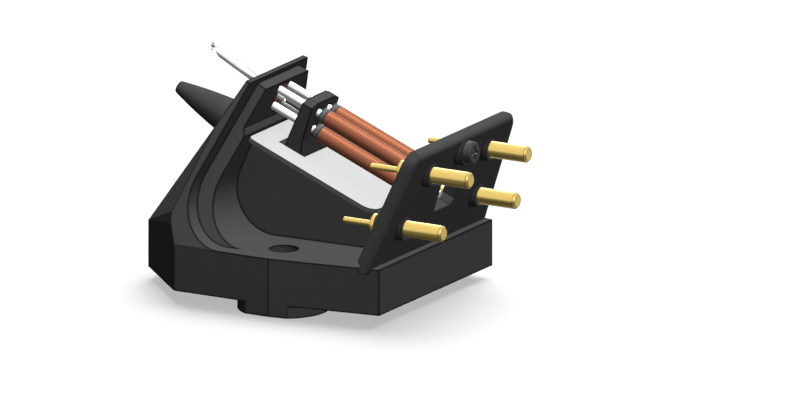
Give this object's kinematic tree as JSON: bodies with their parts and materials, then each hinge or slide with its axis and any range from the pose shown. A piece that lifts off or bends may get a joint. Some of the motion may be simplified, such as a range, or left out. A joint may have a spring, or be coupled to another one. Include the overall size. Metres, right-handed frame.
{
  "type": "turntable stylus cartridge",
  "caption": "Open phono cartridge on its mounting face: slab with pads, leaning front wall and nose, copper coils on bright poles, gold terminal pins, bent cantilever with stylus.",
  "frame": {"origin": "midway between the two mounting holes, on the face that meets the headshell", "axes": "+Z away from the headshell, towards the stylus side; +X to the terminal pins; Y along the line of the mounting holes; symmetric in Y"},
  "size_m": [0.0266, 0.0186, 0.0169],
  "materials": {
    "frame_plastic": "satin black moulding",
    "white_plate": "smooth white plate",
    "holder_plastic": "satin black moulding",
    "elastomer": "orange-brown elastomer",
    "bright_metal": "polished soft iron",
    "grey_metal": "turned grey metal",
    "board_plastic": "satin black moulding",
    "screw_metal": "blackened screw",
    "cantilever_metal": "drawn tube",
    "diamond": "polished, cut to a point",
    "spool_plastic": "smooth dark plastic",
    "copper_wire": "enamelled copper wire in close turns",
    "gold_plate": "gold plated"
  },
  "bodies": {
    "frame": {"body_frame": "frame_plastic", "backing_plate": "white_plate", "pole_holder": "holder_plastic", "suspension_stud": "grey_metal", "suspension_wire": "bright_metal", "terminal_board": "board_plastic", "cover_screw": "screw_metal", "pole_upper_near": "bright_metal", "coil_spool_upper_near": "spool_plastic", "coil_winding_upper_near": "copper_wire", "terminal_pin_upper_near": "gold_plate", "pole_upper_far": "bright_metal", "coil_spool_upper_far": "spool_plastic", "coil_winding_upper_far": "copper_wire", "terminal_pin_upper_far": "gold_plate", "pole_lower_near": "bright_metal", "coil_spool_lower_near": "spool_plastic", "coil_winding_lower_near": "copper_wire", "terminal_pin_lower_near": "gold_plate", "pole_lower_far": "bright_metal", "coil_spool_lower_far": "spool_plastic", "coil_winding_lower_far": "copper_wire", "terminal_pin_lower_far": "gold_plate"},
    "damper_ring": {"damper": "elastomer"},
    "moving_system": {"armature": "bright_metal", "cantilever": "cantilever_metal", "stylus": "diamond"}
  },
  "joints": [
    {"name": "cantilever_lateral", "type": "hinge", "parent": "frame", "child": "damper_ring", "pos_m": [-0.00431, 0, 0.01384], "axis": [0.3746, 0, 0.9272], "range_deg": [-3, 3], "stiffness_Nm_per_rad": 0.0011},
    {"name": "cantilever_vertical", "type": "hinge", "parent": "damper_ring", "child": "moving_system", "pos_m": [-0.00431, 0, 0.01384], "axis": [0, 1, 0], "range_deg": [-6, 2], "stiffness_Nm_per_rad": 0.0011}
  ]
}
